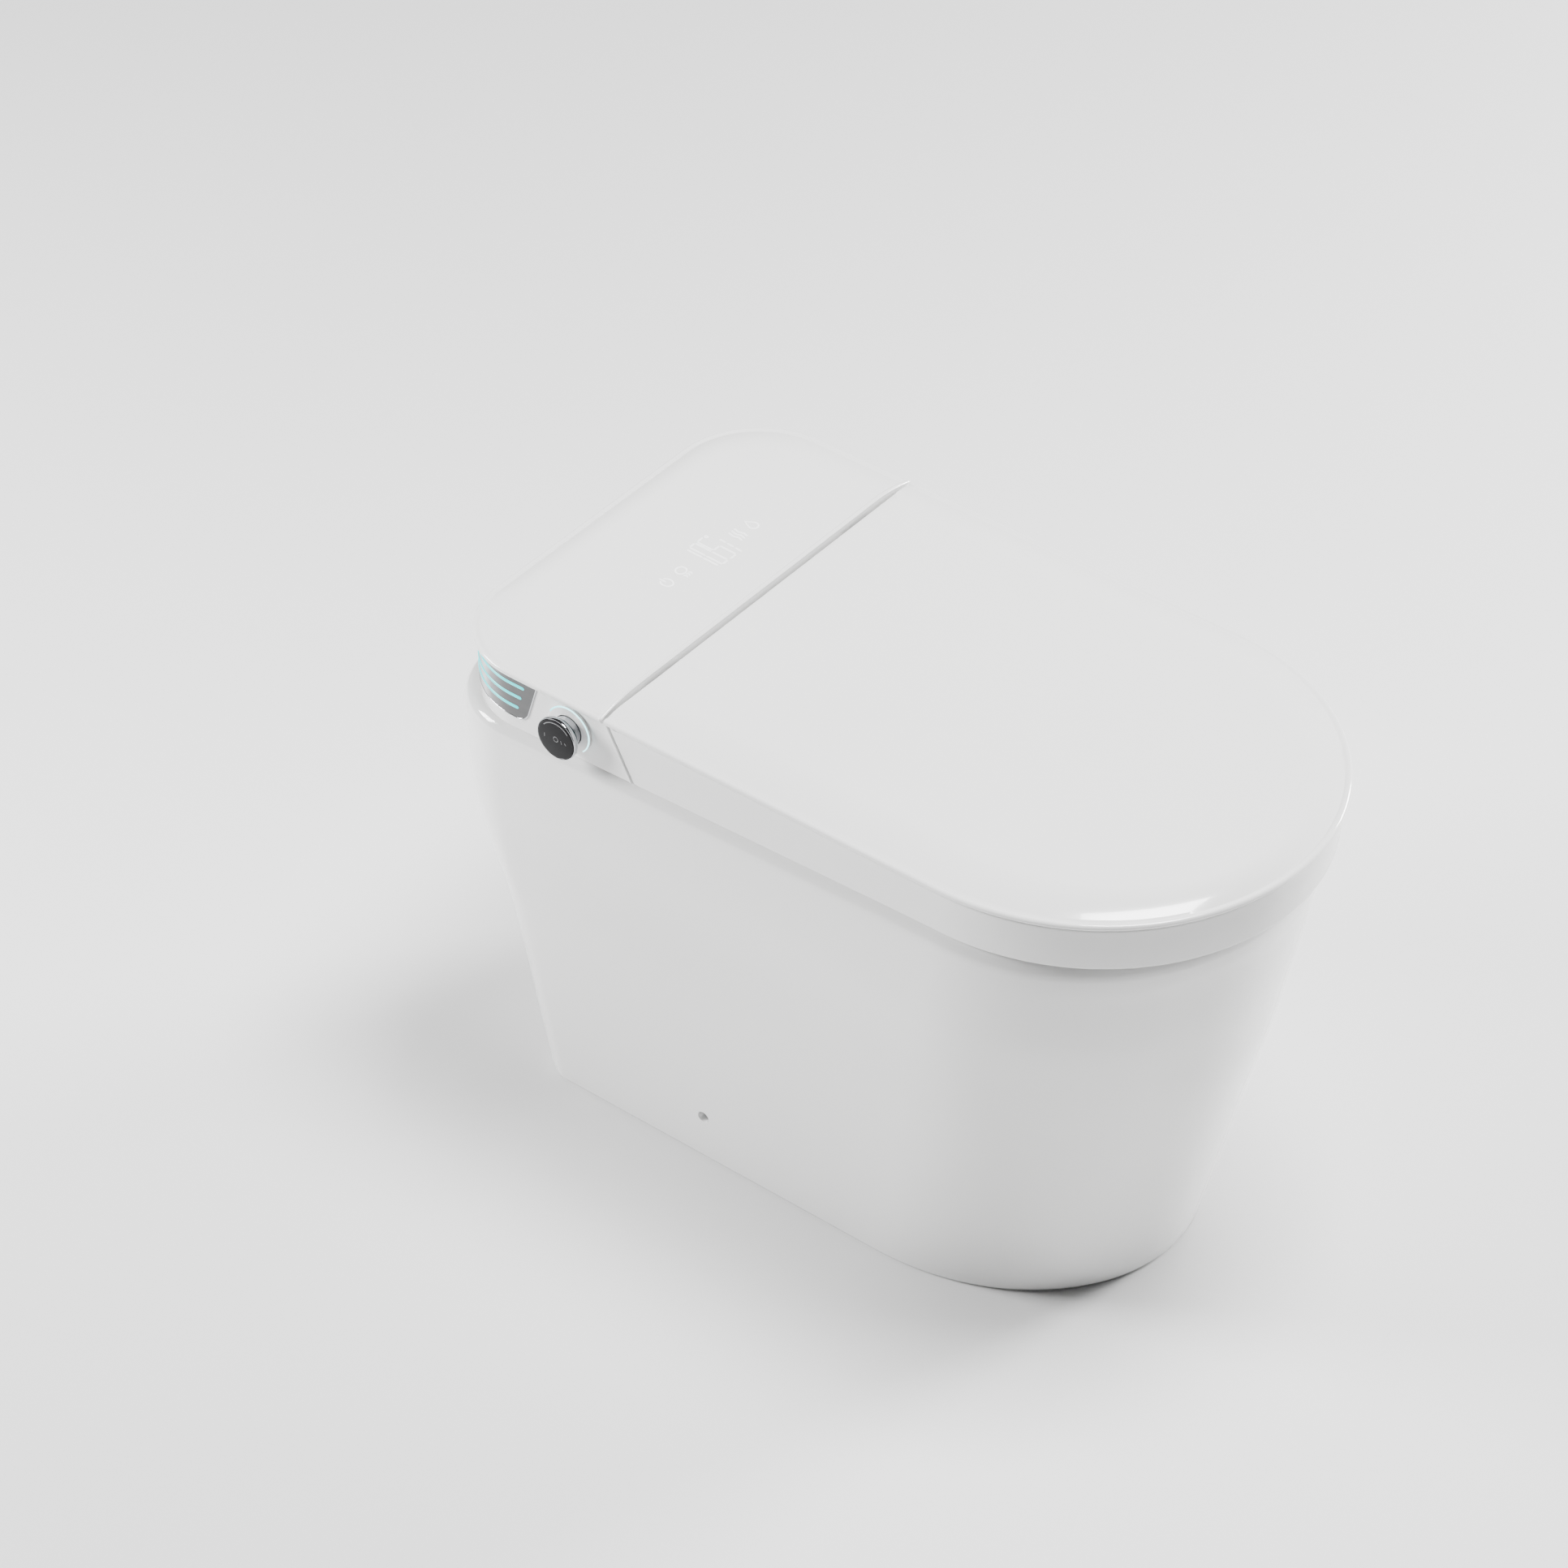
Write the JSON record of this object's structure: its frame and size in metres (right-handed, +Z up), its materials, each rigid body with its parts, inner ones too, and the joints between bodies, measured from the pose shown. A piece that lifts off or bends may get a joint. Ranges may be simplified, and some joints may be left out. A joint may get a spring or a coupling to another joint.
{
  "type": "electric bidet seat on its one-piece toilet pan",
  "caption": "Glazed floor-standing toilet pan with a built-in electric bidet seat unit, hinged heated seat and lid, sliding wash nozzles and a side control knob.",
  "frame": {"origin": "on the floor plane, on the centre line, in the middle of the cross web under the pan's foot", "axes": "+Z up, +Y towards the wall behind the toilet, -Y towards the front of the bowl; the control knob is on the -X side"},
  "size_m": [0.4029, 0.6954, 0.458],
  "materials": {
    "glazed_ceramic": "glazed",
    "gloss_white": "gloss",
    "matte_white": "satin",
    "rubber_grey": "matt",
    "dark_plastic": "matt",
    "steel": "brushed",
    "chrome": "polished",
    "heater_foil": "satin",
    "black_glass": "polished",
    "black_plastic": "matt",
    "window_grey": "metallic gloss",
    "light_guide": "lit",
    "circuit_board": "satin"
  },
  "bodies": {
    "pan": {"ceramic_pan": "glazed_ceramic", "outlet_seal": "rubber_grey", "floor_bracket_left": "dark_plastic", "floor_bracket_right": "dark_plastic", "fixing_screw_left": "steel", "fixing_screw_right": "steel", "base_plate": "matte_white", "rear_housing": "gloss_white", "top_cover": "gloss_white", "light_window": "window_grey", "light_bar_1": "light_guide", "light_bar_2": "light_guide", "light_bar_3": "light_guide", "knob_bezel": "gloss_white", "knob_light_ring": "light_guide", "encoder": "dark_plastic", "display_board": "circuit_board", "main_board": "circuit_board", "power_supply": "dark_plastic", "water_heater": "steel", "water_pump": "dark_plastic", "solenoid_valve": "matte_white", "water_inlet": "chrome", "power_inlet": "black_plastic", "flush_pump": "dark_plastic", "nozzle_guide": "matte_white", "front_nozzle_motor": "steel", "rear_nozzle_motor": "steel", "dryer_housing": "dark_plastic", "deodoriser_housing": "dark_plastic", "hinge_pin_left": "steel", "hinge_pin_right": "steel"},
    "seat": {"seat_top": "gloss_white", "seat_base": "matte_white", "seat_heater": "heater_foil", "seat_bumper_1": "rubber_grey", "seat_bumper_2": "rubber_grey", "seat_bumper_3": "rubber_grey", "seat_bumper_4": "rubber_grey"},
    "lid": {"lid_shell": "gloss_white", "lid_bumper_left": "rubber_grey", "lid_bumper_right": "rubber_grey", "hinge_damper_left": "dark_plastic", "hinge_damper_right": "dark_plastic"},
    "knob_plunger": {"knob_shaft": "steel"},
    "knob_dial": {"knob_cap": "chrome", "knob_glass": "black_glass"},
    "rear_wand": {"rear_nozzle": "matte_white"},
    "front_wand": {"front_nozzle": "matte_white"},
    "rear_pinion": {"rear_nozzle_pinion": "matte_white"},
    "front_pinion": {"front_nozzle_pinion": "matte_white"},
    "dryer_wheel": {"dryer_impeller": "matte_white"},
    "odour_wheel": {"deodoriser_fan": "matte_white"},
    "filter": {"filter_cartridge": "gloss_white"}
  },
  "joints": [
    {"name": "seat_hinge", "type": "hinge", "parent": "pan", "child": "seat", "pos_m": [0, 0.156, 0.45], "axis": [1, 0, 0], "range_deg": [-95, 0]},
    {"name": "lid_hinge", "type": "hinge", "parent": "seat", "child": "lid", "pos_m": [0, 0.156, 0.45], "axis": [-1, 0, 0], "range_deg": [0, 98]},
    {"name": "knob_push", "type": "slide", "parent": "pan", "child": "knob_plunger", "axis": [1, 0, 0], "range_m": [0, 0.0015], "stiffness_N_per_m": 1500},
    {"name": "knob_turn", "type": "hinge", "parent": "knob_plunger", "child": "knob_dial", "pos_m": [-0.2, 0.201, 0.4226], "axis": [-1, 0, 0], "continuous": true},
    {"name": "rear_nozzle_slide", "type": "slide", "parent": "pan", "child": "rear_wand", "axis": [0, -0.9563, -0.2924], "range_m": [0, 0.09]},
    {"name": "front_nozzle_slide", "type": "slide", "parent": "pan", "child": "front_wand", "axis": [0, -0.9563, -0.2924], "range_m": [0, 0.09]},
    {"name": "rear_pinion_spin", "type": "hinge", "parent": "pan", "child": "rear_pinion", "pos_m": [-0.0215, 0.16707, 0.40695], "axis": [0, -0.2924, 0.9563], "range_deg": [-865, 5]},
    {"name": "front_pinion_spin", "type": "hinge", "parent": "pan", "child": "front_pinion", "pos_m": [0.0215, 0.16707, 0.40695], "axis": [0, -0.2924, 0.9563], "range_deg": [-5, 865]},
    {"name": "dryer_spin", "type": "hinge", "parent": "pan", "child": "dryer_wheel", "pos_m": [-0.052, 0.262, 0.368], "axis": [0, 0, 1], "continuous": true},
    {"name": "odour_fan_spin", "type": "hinge", "parent": "pan", "child": "odour_wheel", "pos_m": [0.1005, 0.226, 0.4195], "axis": [1, 0, 0], "continuous": true},
    {"name": "filter_slide", "type": "slide", "parent": "pan", "child": "filter", "axis": [1, 0, 0], "range_m": [0, 0.07]}
  ],
  "couplings": [
    {"joint": "rear_pinion_spin", "follows": "rear_nozzle_slide", "rad_per_m": -166.67},
    {"joint": "front_pinion_spin", "follows": "front_nozzle_slide", "rad_per_m": 166.67}
  ]
}
